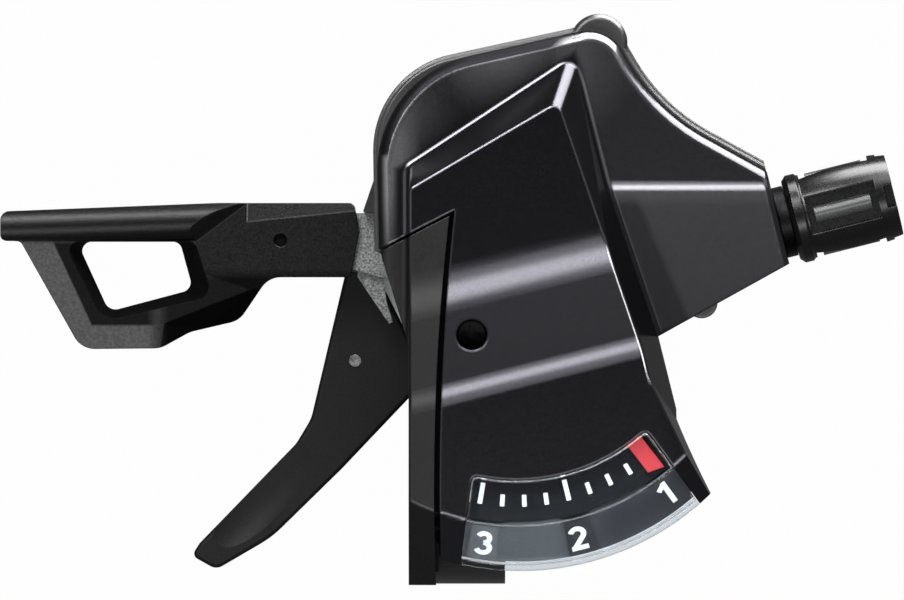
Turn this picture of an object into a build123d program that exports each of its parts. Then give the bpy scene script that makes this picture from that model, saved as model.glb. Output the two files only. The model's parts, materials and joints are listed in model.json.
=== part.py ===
from build123d import *
import os
from math import cos, radians, sin, tan

# All sizes in millimetres, angles in degrees
# X along the handlebar towards its middle, Y to the front, Z up; the origin is the middle of the clamp bore

# Handlebar and clamp
bar_diameter = 22.2
clamp_play = 0.1
clamp_wall = 2.85
clamp_width = 12.4
clamp_slit = 2.0
lug_depth = 8.2
lug_half = 8.0
bolt_radius = 2.5
bolt_head_radius = 4.25
bolt_head_height = 4.4
nut_radius = 4.6
nut_height = 4.0

# Dial, cable and axle in plan
dial_x = 7.6
dial_y = 24.0
cable_angle = 14.0
groove_radius = 9.0
gear_step = 47.4

# Heights of the housing
plateau_rise = 3.8
panel_rise = 4.0
crown_drop = 0.6
parting = 9.0
deck_top = -3.0
deck_thick = 3.0
base_top = -19.4
base_thick = 1.6
cable_level = 5.5

# Cover form
cover_wall = 1.7
case_wall = 1.8
case_edge = 0.5
floor_thick = 1.0
skirt_wall = 2.2
crown_fall = 0.09
facet_fall = 0.30
ridge_y = 37.2
rim_radius = 1.6
arm_end_radius = 0.9
ridge_radius = 4.5
foot_radius = 0.9
edge_radius = 0.45
corner_radius = 0.8
skirt_bend = 1.0
bend_high = 2.0
bend_high_radius = 20.0
bend_low = -10.95
bend_low_radius = 10.0
skirt_radius = 30.4
skirt_angle = 33.0
end_x = 8.13
end_y = 22.74
end_reach = 4.5
groove_gap = 0.7
lip_reach = 0.8
lip_thick = 0.8
bar_room = 1.3
clamp_room = 0.25

# Window, dial and needle
window_thick = 1.2
window_gap = 0.08
dial_inset = 0.4
window_top_radius = 24.5
window_corner = 0.8
dial_thick = 0.6
needle_thick = 0.7
needle_half = 1.05
needle_tip = 29.6
dial_room = 0.3
dial_slope = 6.0
figure_angles = [-7.4, 14.5, 37.2]
tab_span = 6.4
tab_rise = 0.5
needle_room = 0.3
pivot_radius = 1.2

# Screws
screw_radius = 1.2
screw_head_radius = 2.0
screw_play = 0.12
screw_boss = 2.8
hole_radius = 1.95

# Mechanism
axle_radius = 2.5
running_play = 0.05
sleeve_radius = 4.5
drum_flange = 11.3
drum_low = 0.3
drum_high = 10.6
drum_pin_radius = 0.9
ratchet_tip = 10.5
ratchet_root = 8.2
tooth_span = 16.0
free_play = 3.0
hold_low = -10.4
hold_high = -9.3
feed_low = -11.8
feed_high = -10.6
release_low = -9.0
release_high = -6.4
lever_low = -15.4
lever_high = -13.4
hub_radius = 8.0
pawl_boss = 2.3
pawl_pin_radius = 1.3
rivet_radius = 0.8
wire = 0.7
release_angle = 310.0
release_peg_radius = 2.5

# Lever caps
trigger_low = -12.4
trigger_face = -5.4
trigger_bar = -4.2
hook_slope = 0.14
bar_round = 3.2
thumb_low = -19.3
thumb_high = -12.9
thumb_edge = 0.6
scoop_length = 42.0
scoop_round = 7.0
scoop_depth = 0.9

# Barrel adjuster, measured along the cable from the dial centre
arm_end = 34.8
arm_low = -0.9
port_radius = 2.4
port_wall = 2.0
knob_start = 36.4
knob_end = 50.0
knob_radius = 5.85
knob_end_radius = 5.45
collar_radius = 5.75
collar_width = 1.7
grip_count = 4
pocket_depth = 1.2
rib_sink = 0.45
housing_radius = 2.6
housing_depth = 8.0
thread_radius = 3.0
cable_hole = 1.1

along = (cos(radians(cable_angle)), sin(radians(cable_angle)))
across = (-along[1], along[0])
axle_x = dial_x + groove_radius * across[0]
axle_y = dial_y + groove_radius * across[1]
bore_radius = (bar_diameter + clamp_play) / 2
clamp_radius = bore_radius + clamp_wall
plateau_top = clamp_radius + plateau_rise
panel_top = plateau_top + panel_rise
crown_top = plateau_top - crown_drop
dial_top = clamp_radius + dial_room + dial_thick
end_radius = skirt_radius + end_reach
needle_level = dial_top + needle_room
deck_low = deck_top - deck_thick
base_low = base_top - base_thick


def at_cable(u, v):
    """Point given along and across the cable line from the dial centre."""
    return dial_x + u * along[0] + v * across[0], dial_y + u * along[1] + v * across[1]


def polar(radius, angle):
    """Point given by radius and angle round the axle."""
    return axle_x + radius * cos(radians(angle)), axle_y + radius * sin(radians(angle))


def dial_point(radius, angle):
    """Point on the dial, the angle counted from the rider's side towards the middle of the bar."""
    return dial_x + radius * sin(radians(angle)), dial_y - radius * cos(radians(angle))


def polygon(points):
    """Flat face with straight sides."""
    return make_face(Polyline(points, close=True).edges())


def rounded(corners):
    """Flat face from corners given as x, y and corner radius."""
    points = [(x, y) for x, y, r in corners]
    radii = [r for x, y, r in corners]
    return make_face(FilletPolyline(points, radius=radii, close=True).edges())


def slab(face, low, high):
    """Upright solid over a flat face."""
    return extrude(Pos(0, 0, low) * face, high - low, dir=(0, 0, 1))


def disc(x, y, radius, low, high):
    """Upright cylinder."""
    return Pos(x, y, (low + high) / 2) * Cylinder(radius, high - low)


def block_box(x0, x1, y0, y1, z0, z1):
    """Box between two opposite corners."""
    return Pos((x0 + x1) / 2, (y0 + y1) / 2, (z0 + z1) / 2) * Box(x1 - x0, y1 - y0, z1 - z0)


def lying(x, z, radius, y0, y1):
    """Cylinder along Y."""
    return Pos(x, (y0 + y1) / 2, z) * Rot(90, 0, 0) * Cylinder(radius, y1 - y0)


def on_cable(radius, start, end):
    """Cylinder along the cable line."""
    x, y = at_cable((start + end) / 2, 0)
    return Pos(x, y, cable_level) * Rot(0, 0, cable_angle) * Rot(0, 90, 0) * Cylinder(radius, end - start)


# Outline of the shoulder: left side, front, arm running out to a point, back
shoulder_outline = [
    (-9.5, 10.0, 0.0),
    (-10.5, 51.1, 15.0),
    (19.3, 57.8, 5.0),
    (25.6, 47.0, 26.0),
    (52.0, 32.4, 0.0),
    (24.6, 17.2, 0.0),
    (20.0, 10.0, 0.0),
]

# Outer side of the strip: straight beside the clamp, then slanting out to the shoulder
side_x = -clamp_width / 2
strip_end = -14.0
slant_low = (side_x, 16.8)
slant_high = (-9.8, 28.6)

# Walls of the raised block at the panel's height, clockwise, each with the way it leans out per millimetre down
block_walls = [
    ((side_x, strip_end), (side_x, 36.7), 0.0),
    ((side_x, 36.7), (12.9, 47.9), 0.66),
    ((12.9, 47.9), (19.5, 28.6), 0.62),
    ((19.5, 28.6), (22.9, 14.9), 0.28),
]
dial_wall = ((22.9, 14.9), (33.1, -6.0), 0.12)


def walled(body, start, end, lean, inset):
    """Solid cut back to the inner side of a leaning wall."""
    dx = end[0] - start[0]
    dy = end[1] - start[1]
    length = (dx * dx + dy * dy) ** 0.5
    nx = -dy / length
    ny = dx / length
    origin = (start[0] - nx * inset, start[1] - ny * inset, panel_top)
    return split(body, Plane(origin=origin, z_dir=(nx, ny, lean)), keep=Keep.BOTTOM)


def is_top(normal):
    """True for a face that looks up."""
    return normal.Z > 0.8


def is_wall(normal):
    """True for a face that stands up."""
    return abs(normal.Z) < 0.75


def is_end(normal):
    """True for the upright face at the arm's end."""
    return normal.X * along[0] + normal.Y * along[1] > 0.999


def meeting_edges(body, first, second):
    """Edges where a face of the first kind meets one of the second kind, with that second face."""
    faces = {}
    for face in body.faces():
        for edge in face.edges():
            faces.setdefault(edge, []).append(face)
    found = []
    for edge, pair in faces.items():
        if len(pair) == 2:
            one, two = pair
            if first(one.normal_at()) and second(two.normal_at()):
                found.append((edge, two))
            elif first(two.normal_at()) and second(one.normal_at()):
                found.append((edge, one))
    return found


def crown_at(x):
    """Height of the shoulder's crown."""
    return crown_top - crown_fall * x


def shoulder(inset, low):
    """Low shoulder round the block, with the cable arm's roof."""
    face = rounded(shoulder_outline)
    if inset > 0:
        face = offset(face, -inset, kind=Kind.INTERSECTION)
    body = slab(face, low, panel_top + 1)
    top = crown_top - inset
    body = split(body, Plane(origin=(0, ridge_y, top), z_dir=(crown_fall, 0, 1)), keep=Keep.BOTTOM)
    seam = 12.0
    main = body & block_box(-40, seam, -40, 80, -40, 40)
    arm = body & block_box(seam, 80, -40, 80, -40, 40)
    facet = Plane(origin=(0, ridge_y, top), z_dir=(crown_fall, -facet_fall, 1))
    body = main + split(arm, facet, keep=Keep.BOTTOM)
    if inset == 0:
        crown = [e for e in body.edges() if abs(e.center().Z - crown_at(e.center().X)) < 0.01]
        ridge = [e for e in crown if abs(e.center().Y - ridge_y) < 0.01]
        body = fillet(ridge, ridge_radius)
        crown = [e for e in body.edges() if abs(e.center().Z - crown_at(e.center().X)) < 0.01]
        rim = [e for e in crown if e.center().Y > ridge_y and e.bounding_box().max.Y > ridge_y + 1]
        rim = [e for e in rim if abs(e.center().X - seam) > 0.01]
        body = fillet(rim[0], rim_radius)
    x, y = at_cable(arm_end - inset + 40, 0)
    body = body - Pos(x, y, 0) * Rot(0, 0, cable_angle) * Box(80, 80, 80)
    if inset == 0:
        brow = [e for e, f in meeting_edges(body, is_top, is_end)]
        body = fillet(brow, arm_end_radius)
    outside = polygon([
        (side_x + inset, 5),
        (slant_low[0] + inset, slant_low[1]),
        (slant_high[0] + inset, slant_high[1]),
        (-40, slant_high[1]),
        (-40, 5),
    ])
    return body - slab(outside, -40, 40)


def block(inset, low):
    """Raised block with panel, slope, dial plateau and skirt."""
    upper = block_box(-60, 60, strip_end + inset, 80, low, panel_top + 5)
    for start, end, lean in block_walls:
        upper = walled(upper, start, end, lean, inset)
    lower = block_box(side_x + inset, 60, strip_end + inset, 18, low, panel_top + 5)
    lower = walled(lower, *dial_wall, inset)
    body = upper + lower
    reach = 70
    points = [
        (-reach, -reach),
        (-reach, plateau_top - inset),
        (bend_low, plateau_top - inset),
        (bend_high, panel_top - inset),
        (reach, panel_top - inset),
        (reach, -reach),
    ]
    radii = [0, 0, bend_low_radius, bend_high_radius, 0, 0]
    section = make_face(FilletPolyline(points, radius=radii, close=True).edges())
    side = Plane(origin=(dial_x, dial_y, 0), x_dir=(*across, 0), z_dir=(*along, 0))
    body = body & extrude(side * section, reach, both=True)
    fall = tan(radians(skirt_angle))
    top = plateau_top - inset
    cone = polygon([
        (skirt_radius, top),
        (skirt_radius + 30, top - 30 * fall),
        (skirt_radius + 30, panel_top + 20),
        (skirt_radius, panel_top + 20),
    ])
    cone = Pos(dial_x, dial_y, 0) * revolve(Plane.XZ * cone, Axis.Z)
    body = body - (cone & block_box(-60, 60, -60, 8, -60, 60))
    outline = rounded(shoulder_outline)
    if inset > 0:
        outline = offset(outline, -inset, kind=Kind.INTERSECTION)
    body = body - (block_box(-40, 60, 45, 90, -40, 60) - slab(outline, -50, 70))
    end = block_box(-2.3, 60, -40, 4, -60, 60) - disc(end_x, end_y, end_radius - inset, -70, 70)
    return body - end


# Outer form of cover and strip: sharp bodies joined, then the soft edges
shoulder_form = shoulder(0, parting)
block_form = block(0, parting)
upright = [e for e, f in meeting_edges(block_form, is_wall, is_wall) if e.center().Y > ridge_y]
block_form = fillet([e for e in upright if abs(e.center().X - side_x) < 0.01], corner_radius)
round_edges = block_form.edges().filter_by(GeomType.CIRCLE)
bend = [e for e in round_edges if abs(e.radius - skirt_radius) < 0.01]
block_form = fillet(bend, skirt_bend)
form = shoulder_form + block_form
upright = [e for e, f in meeting_edges(form, is_wall, is_wall) if e.center().Z > crown_top]
upright = [e for e in upright if e.center().Y > 45]
form = fillet(max(upright, key=lambda e: e.length), corner_radius * 2)
tops = [e for e, f in meeting_edges(form, is_top, is_wall) if e.bounding_box().min.Z > plateau_top - 0.01]
form = fillet([e for e in tops if e.center().X < dial_wall[0][0] + 2], edge_radius)
feet = []
for edge, wall in meeting_edges(form, is_top, is_wall):
    middle = edge.center()
    on_crown = abs(middle.Z - crown_at(middle.X)) < 0.05
    if on_crown and wall.bounding_box().max.Z > middle.Z + 1:
        feet.append(edge)
form = fillet(feet, foot_radius)
hollow = shoulder(cover_wall, parting - 1) + block(cover_wall, parting - 1)
skin = form - hollow


def strip_face(gap):
    """Plan of the strip beside the cover; the gap is the groove between them."""
    top = (-0.3 - gap, 34.0 - gap)
    middle = (-2.05 - gap, 9.0)
    bottom = (-1.9 - gap, -16.0)
    far = -30.0
    corner = (far, top[1] + (far - top[0]) * 0.516)
    return make_face([
        ThreePointArc(top, middle, bottom),
        Line(bottom, (far, -16.0)),
        Line((far, -16.0), corner),
        Line(corner, top),
    ])


def window_face():
    """Plan of the window opening, run out past the cover's edge."""
    inner = window_top_radius
    outer = end_radius + 4
    a = dial_point(inner, -13.4)
    b = dial_point(inner, 42.6)
    c = dial_point(outer, 40.2)
    d = dial_point(outer, -11.2)
    face = make_face([
        ThreePointArc(a, dial_point(inner, 14.6), b),
        Line(b, c),
        ThreePointArc(c, dial_point(outer, 14.5), d),
        Line(d, a),
    ])
    return fillet(face.vertices(), window_corner)


bar_space = Rot(0, 90, 0) * Cylinder(bar_diameter / 2 + bar_room, 200)
clamp_space = Rot(0, 90, 0) * Cylinder(clamp_radius + clamp_room, clamp_width + 1)

# Places of the screws
hole_x, hole_y = 1.9, 18.1
seat_level = parting + 1.0
case_places = [(17.8, 54.0), (21.6, 19.6)]

# Top cover
top_cover = skin - slab(strip_face(0), -40, 60) - bar_space - clamp_space
tube = disc(hole_x, hole_y, hole_radius + 1.0, seat_level, panel_top + 5) & block(0.4, parting)
pivot = disc(dial_x, dial_y, 2.4, needle_level + needle_thick + 0.2, panel_top + 5) & block(0.4, parting)
top_cover = top_cover + tube + pivot
for x, y in case_places:
    top_cover = top_cover + (disc(x, y, screw_boss, parting, parting + 5.5) & form)
top_cover = top_cover + disc(dial_x, dial_y, pivot_radius, needle_level - 0.9, needle_level + needle_thick + 1)
top_cover = top_cover - disc(hole_x, hole_y, hole_radius, seat_level + 0.8, panel_top + 5)
top_cover = top_cover - disc(hole_x, hole_y, screw_radius + screw_play, 0, panel_top)
for x, y in case_places:
    top_cover = top_cover - disc(x, y, screw_radius, parting - 1, parting + 3.6)
top_cover = top_cover - slab(window_face(), -40, 60)

# Window lens, flush with the cover
lens_room = slab(offset(window_face(), -window_gap), plateau_top - 5.4, 60)
window = (block(0, parting) - block(window_thick, parting - 1)) & lens_room

# Dial under the lens
fall = tan(radians(skirt_angle))
dial_bend = skirt_radius - 0.5
dial_out = dial_bend + dial_slope
dial_section = polygon([
    (window_top_radius - 2.6, dial_top),
    (dial_bend, dial_top),
    (dial_out, dial_top - (dial_out - dial_bend) * fall),
    (dial_out, dial_top - (dial_out - dial_bend) * fall - dial_thick),
    (dial_bend, dial_top - dial_thick),
    (window_top_radius - 2.6, dial_top - dial_thick),
])
dial_turn = Pos(dial_x, dial_y, 0) * Rot(0, 0, -106) * revolve(Plane.XZ * dial_section, Axis.Z, 62)
for angle in figure_angles:
    tab_low = dial_top - (skirt_radius - 0.2 - dial_bend) * fall - dial_thick / 2
    tab_section = polygon([
        (skirt_radius - 0.2, tab_low),
        (skirt_radius - 0.2, tab_low + dial_thick / 2 + tab_rise),
        (dial_out, tab_low + dial_thick / 2 + tab_rise - (dial_out - skirt_radius + 0.2) * fall),
        (dial_out, tab_low - (dial_out - skirt_radius + 0.2) * fall),
    ])
    tab = revolve(Plane.XZ * tab_section, Axis.Z, tab_span)
    dial_turn = dial_turn + Pos(dial_x, dial_y, 0) * Rot(0, 0, angle - tab_span / 2 - 90) * tab
dial_end = dial_turn & slab(offset(window_face(), -dial_inset), parting, 60) & block(window_thick + 0.2, parting)
dial_plate = (dial_turn & block(cover_wall + 0.15, parting)) + dial_end - clamp_space

# Needle on its pivot in the cover, its fork over the drum's pin
needle_rest = cable_angle + gear_step / 2
pin_reach = 2 * groove_radius * cos(radians(gear_step / 2))
fork_half = drum_pin_radius + 0.1
pointer = polygon([
    (0, -1.6),
    (needle_tip - 4.5, -needle_half),
    (needle_tip - 0.7, -needle_half),
    (needle_tip, needle_half),
    (needle_tip - 4.5, needle_half),
    (0, 1.6),
])
tail = Pos(-pin_reach / 2 - 0.9, 0) * Rectangle(pin_reach + 1.8, 2 * fork_half + 1.5)
fork = Pos(-pin_reach - 1.0, 0) * Rectangle(6.0, 2 * fork_half)
needle_plan = pointer + tail + Circle(2.6) - fork - Circle(pivot_radius + running_play)
needle_flat = slab(needle_plan, needle_level, needle_level + needle_thick)
needle = Pos(dial_x, dial_y, 0) * Rot(0, 0, needle_rest - 90) * needle_flat
needle_washer = disc(dial_x, dial_y, 2.1, needle_level - 0.75, needle_level - 0.15)
needle_washer = needle_washer - disc(dial_x, dial_y, pivot_radius, 0, 30)

# Side cover: the strip, and below it the wall with the cable port
side_cover = (skin & slab(strip_face(groove_gap), -40, 60)) - clamp_space
under = shoulder(cover_wall + lip_thick, parting - 2) + block(cover_wall + lip_thick, parting - 2)
lip_plan = strip_face(-lip_reach) - strip_face(groove_gap + lip_reach)
lip = ((hollow - under) & slab(lip_plan, parting, 60)) - bar_space - clamp_space
side_cover = side_cover + (lip - top_cover - dial_plate)
slant_x = slant_high[0] - slant_low[0]
slant_y = slant_high[1] - slant_low[1]
slant = (slant_x ** 2 + slant_y ** 2) ** 0.5
inward = (slant_y / slant * port_wall, -slant_x / slant * port_wall)
foot_y = slant_low[1] - 2.3
wall_top = (slant_low[0] + slant_x * 0.9, slant_low[1] + slant_y * 0.9)
wall_plan = polygon([
    (side_x, foot_y),
    slant_low,
    wall_top,
    (wall_top[0] + inward[0], wall_top[1] + inward[1]),
    (side_x + port_wall, slant_low[1] + 0.3),
    (side_x + port_wall, foot_y),
])
side_cover = side_cover + slab(wall_plan, deck_top, parting + 0.5)
port_out = -15.15
port_in = -13.35
side_cover = side_cover - on_cable(port_radius, port_out - 6, port_in + 4)
wire_port_cap = on_cable(port_radius, port_out, port_in)
slot_x, slot_y = at_cable(port_out, 0)
wire_port_cap = wire_port_cap - Pos(slot_x, slot_y, cable_level) * Rot(0, 0, cable_angle) * Box(1.6, 0.8, 3.4)

# Lower case with front boss, arm and screw bosses
case_outline = [
    (-4.0, 16.2, 0.0),
    (-4.0, 17.3, 0.0),
    (-7.3, 28.2, 0.0),
    (-10.6, 28.8, 0.4),
    (-10.9, 51.9, 12.5),
    (20.0, 58.6, 4.0),
    (26.2, 47.7, 25.0),
    (52.4, 33.3, 0.0),
    (24.8, 17.6, 0.5),
    (24.0, 16.2, 1.0),
]
case_face = rounded(case_outline)
case_boss = disc(18.2, 55.6, 3.7, deck_top, parting)
case_top = offset(case_face, -case_edge, kind=Kind.INTERSECTION)
lower_case = slab(case_face, deck_top, parting - case_edge) + slab(case_top, deck_top, parting)
lower_case = lower_case + chamfer(case_boss.faces().sort_by(Axis.Z)[-1].edges(), case_edge)
lower_case = lower_case + disc(31.5, 22.2, 2.0, arm_low, cable_level)
cavity = offset(case_face, -case_wall, kind=Kind.INTERSECTION) & (Pos(-16, 35) * Rectangle(80, 80))
lower_case = lower_case - slab(cavity, deck_top - 1, parting + 1)
lower_case = lower_case + disc(hole_x, hole_y, screw_boss, deck_top, seat_level)
for x, y in case_places:
    lower_case = lower_case + disc(x, y, screw_boss, deck_top, parting)
    lower_case = lower_case - disc(x, y, screw_radius + screw_play, deck_top - 1, parting + 1)
lower_case = lower_case - disc(hole_x, hole_y, screw_radius, seat_level - 7, seat_level + 1)
cut_x, cut_y = at_cable(arm_end + 40, 0)
lower_case = lower_case - Pos(cut_x, cut_y, 0) * Rot(0, 0, cable_angle) * Box(80, 80, 80)
lower_case = lower_case - block_box(27, 80, 0, 80, -20, arm_low)
lower_case = lower_case - on_cable(thread_radius + running_play, 23, 60) - on_cable(cable_hole + 0.4, 10, 40)
lower_case = lower_case - on_cable(port_radius - 0.6, port_out, -8)

# Floor under the dial, part of the lower case and arched over the handlebar
floor_plan = Pos(17.55, 2.3) * Rectangle(36.9, 30.6)
arch = Rot(0, 90, 0) * Cylinder(bar_diameter / 2 + bar_room + floor_thick, 200)
dial_floor = slab(floor_plan, parting, parting + floor_thick) + (arch & slab(floor_plan, parting, 40))
dial_floor = (dial_floor & block(cover_wall + 0.1, parting - 1)) - bar_space - clamp_space
for x, y in case_places:
    dial_floor = dial_floor - disc(x, y, screw_boss + screw_play, 0, 40)
dial_floor = dial_floor - disc(hole_x, hole_y, screw_radius, 0, 40)
dial_floor = dial_floor & disc(dial_x, dial_y, dial_bend - 0.3, 0, 40)
lower_case = lower_case + dial_floor

# Screws of the housing
cover_screw = disc(hole_x, hole_y, screw_radius, seat_level - 6, seat_level + 0.8)
cover_screw = cover_screw + disc(hole_x, hole_y, hole_radius - 0.2, seat_level + 0.8, seat_level + 2.2)
cover_screw = cover_screw - Pos(hole_x, hole_y, seat_level + 2.2) * (Box(2.4, 0.6, 1.4) + Box(0.6, 2.4, 1.4))
case_screws = []
for x, y in case_places:
    screw = disc(x, y, screw_radius, base_low, parting + 3.4)
    screw = screw + disc(x, y, screw_head_radius, base_low - 1.4, base_low)
    case_screws.append(screw - Pos(x, y, base_low - 1.4) * (Box(2.4, 0.6, 1.4) + Box(0.6, 2.4, 1.4)))

# Bracket: clamp ring with slit and lugs, deck, skirt round the mechanism
deck_outline = [
    (-5.9, 10.5, 0.0),
    (-5.9, 16.6, 0.0),
    (-9.1, 27.6, 0.4),
    (-9.5, 33.6, 0.0),
    (-12.2, 33.8, 0.3),
    (-10.7, 38.2, 1.0),
    (-10.6, 51.6, 12.3),
    (19.6, 58.2, 4.0),
    (25.2, 48.4, 6.0),
    (23.8, 16.6, 1.0),
    (5.9, 16.6, 0.0),
    (5.9, 10.5, 0.0),
]
deck_face = rounded(deck_outline)
deck = slab(deck_face, deck_low, deck_top)
skirt_plan = [(4.5, 15.8), (60, 15.8), (60, 70), (-4, 70), (-4, 47), (12, 47), (12, 24), (4.5, 20)]
skirt_face = (deck_face - offset(deck_face, -skirt_wall, kind=Kind.INTERSECTION)) & polygon(skirt_plan)
skirt = slab(skirt_face, base_top, deck_low)
bolt_level = -clamp_radius - lug_depth / 2 + 0.4
ring = Rot(0, 90, 0) * Cylinder(clamp_radius, clamp_width)
half_width = clamp_width / 2
lugs = block_box(-half_width, half_width, -lug_half, lug_half, -clamp_radius - lug_depth, -bore_radius)
lugs = fillet([e for e in lugs.edges().filter_by(Axis.X) if e.center().Z < -clamp_radius], 3.0)
web = block_box(side_x + port_wall + 0.3, half_width - 0.3, 9.0, hole_y - screw_boss - 0.1, deck_low, 5.0)
bracket = ring + lugs + web + deck + skirt
for x, y in case_places:
    bracket = bracket + disc(x, y, screw_boss, base_top, deck_low)
release_peg = polar(12.4, release_angle)
bracket = bracket + disc(*release_peg, release_peg_radius, release_low, deck_low)
bracket = bracket - Rot(0, 90, 0) * Cylinder(bore_radius, clamp_width + 20)
bracket = bracket - block_box(-half_width - 1, half_width + 1, -clamp_slit / 2, clamp_slit / 2, -60, -5)
bracket = bracket - lying(0, bolt_level, bolt_radius + screw_play, -20, 20)
bracket = bracket - lying(0, bolt_level, bolt_head_radius + 0.2, -20, bolt_head_height - lug_half)
nut_plan = Plane.XZ * RegularPolygon(nut_radius, 6)
nut_pocket = Pos(0, lug_half + 5, bolt_level) * extrude(nut_plan, 5 + nut_height, dir=(0, -1, 0))
bracket = bracket - nut_pocket
bracket = bracket - disc(axle_x, axle_y, sleeve_radius + 0.4, -40, 40)
hold_pin = polar(14.6, 112)
bracket = bracket - disc(*hold_pin, pawl_pin_radius, -20, 20)
for x, y in case_places:
    bracket = bracket - disc(x, y, screw_radius + screw_play, -40, 40)

# Clamp screw and nut
clamp_bolt = lying(0, bolt_level, bolt_radius, -lug_half + bolt_head_height, lug_half)
clamp_bolt = clamp_bolt + lying(0, bolt_level, bolt_head_radius, -lug_half, -lug_half + bolt_head_height)
key_plan = Plane.XZ * RegularPolygon(2.3, 6)
clamp_bolt = clamp_bolt - Pos(0, -lug_half, bolt_level) * extrude(key_plan, 2.4, dir=(0, 1, 0))
clamp_nut = Pos(0, lug_half, bolt_level) * extrude(nut_plan, nut_height, dir=(0, -1, 0))
clamp_nut = clamp_nut - lying(0, bolt_level, bolt_radius, -20, 20)

# Axle with its nut, spacer, washer and the base plate
main_axle = disc(axle_x, axle_y, axle_radius, base_low - 3.4, drum_high + 0.6)
main_axle = main_axle + disc(axle_x, axle_y, 4.2, drum_high + 0.6, drum_high + 1.9)
main_axle = main_axle - Pos(axle_x, axle_y, drum_high + 1.9) * Box(9, 1.0, 1.2)
drum_washer = disc(axle_x, axle_y, 5.0, drum_high + 0.1, drum_high + 0.6)
drum_washer = drum_washer - disc(axle_x, axle_y, axle_radius, 0, 30)
axle_nut = slab(Pos(axle_x, axle_y) * RegularPolygon(nut_radius, 6), base_low - 3.0, base_low)
axle_nut = axle_nut - disc(axle_x, axle_y, axle_radius, -40, 40)
axle_spacer = disc(axle_x, axle_y, 3.9, base_top, lever_low - 0.1)
axle_spacer = axle_spacer - disc(axle_x, axle_y, axle_radius, -40, 40)
base_face = deck_face & (polygon(skirt_plan) + Pos(axle_x, axle_y) * Circle(9.5))
base_plate = slab(base_face, base_low, base_top) - disc(axle_x, axle_y, axle_radius, -40, 40)
for x, y in case_places:
    base_plate = base_plate - disc(x, y, screw_radius + screw_play, -40, 40)
hold_pawl_pin = disc(*hold_pin, pawl_pin_radius, hold_low - 0.3, deck_top)

# Cable drum with sleeve, nipple pocket and needle pin
drum_section = polygon([
    (0, drum_low),
    (drum_flange, drum_low),
    (drum_flange, cable_level - 3.4),
    (groove_radius, cable_level - 1.0),
    (groove_radius, cable_level + 1.0),
    (drum_flange, cable_level + 3.4),
    (drum_flange, drum_high),
    (0, drum_high),
])
cable_drum = Pos(axle_x, axle_y, 0) * revolve(Plane.XZ * drum_section, Axis.Z)
cable_drum = cable_drum + disc(axle_x, axle_y, sleeve_radius, feed_low - 0.2, drum_low)
for side in (-1, 1):
    flat = Pos(axle_x, axle_y + side * (sleeve_radius + 4), hold_high - 5) * Box(20, 10, 10)
    cable_drum = cable_drum - flat
pin_x, pin_y = polar(groove_radius, 90 + cable_angle + gear_step)
cable_drum = cable_drum - disc(axle_x, axle_y, axle_radius + running_play, -40, 40)
cable_drum = cable_drum - on_cable(2.2, -5.0, -0.5) - disc(pin_x, pin_y, drum_pin_radius, drum_high - 1.2, 40)
drum_pin = disc(pin_x, pin_y, drum_pin_radius, drum_high - 1.2, needle_level + needle_thick + 0.4)


def ratchet(faces, low, high):
    """Toothed plate on the drum's sleeve; each tooth has its steep face at the given angle."""
    plan = Pos(axle_x, axle_y) * Circle(ratchet_root)
    for face in faces:
        plan = plan + polygon([
            polar(ratchet_root - 1.0, face),
            polar(ratchet_tip, face),
            polar(ratchet_tip, face - 4.0),
            polar(ratchet_root - 0.4, face - tooth_span),
        ])
    return slab(plan, low, high) - cable_drum - disc(axle_x, axle_y, axle_radius + 1, low - 1, high + 1)


hold_angle = 86.0
feed_angle = 226.0
hold_first = hold_angle - 1.0 + gear_step
feed_first = feed_angle - free_play
hold_ratchet = ratchet([hold_first, hold_first + gear_step], hold_low, hold_high)
feed_ratchet = ratchet([feed_first, feed_first + gear_step], feed_low, feed_high)


def pawl(pin, nose, back, low, high, top):
    """Pawl with its boss on a pin; nose and back are points given by radius and angle round the axle."""
    plan = polygon([polar(*nose[0]), polar(*nose[1]), polar(*back[0]), polar(*back[1])])
    plan = plan + Pos(*pin) * Circle(pawl_boss)
    body = slab(plan, low, high)
    if top > high:
        body = body + disc(*pin, pawl_boss, high, top)
    return body - disc(*pin, pawl_pin_radius + running_play, -40, 40)


nose_radius = ratchet_tip + 0.35
hold_pawl = pawl(
    hold_pin,
    [(nose_radius, hold_angle + 0.3), (nose_radius + 1.6, hold_angle + 0.3)],
    [(16.6, 107), (12.6, 114)],
    hold_low, hold_high, release_high,
)
feed_pin = polar(13.6, 250)
feed_pawl = pawl(
    feed_pin,
    [(nose_radius, feed_angle + 0.3), (nose_radius + 1.6, feed_angle + 0.3)],
    [(15.4, 246), (11.9, 253)],
    feed_low - 0.4, feed_high, feed_high,
)
feed_pawl_pin = disc(*feed_pin, pawl_pin_radius, lever_low - 0.4, feed_high)


def hairpin(x, y, angle, inner, length, low):
    """Flat hairpin spring round a post, its legs running out at the given angle."""
    outside = Circle(inner + wire) + Pos(length / 2, 0) * Rectangle(length, 2 * (inner + wire))
    within = Circle(inner) + Pos(length / 2, 0) * Rectangle(length + 0.2, 2 * inner)
    return Pos(x, y, 0) * Rot(0, 0, angle) * slab(outside - within, low, low + wire)


release_level = (release_low + release_high) / 2
release_spring = hairpin(*release_peg, release_angle - 180, release_peg_radius + 0.1, 3.6, release_level)
hold_pawl_spring = hairpin(*hold_pin, 20, pawl_boss + 0.1, 5.0, hold_high + 1.2)
feed_pawl_spring = hairpin(*feed_pin, 150, pawl_pin_radius + 0.1, 4.4, lever_high + 0.1)
coil = Helix(wire + 0.25, 3 * (wire + 0.25), 5.6)
coil_wire = sweep(Plane(origin=coil @ 0, z_dir=coil % 0) * Rectangle(wire, wire), path=coil, is_frenet=True)
lever_spring = Pos(axle_x, axle_y, base_top + wire / 2) * coil_wire

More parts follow.
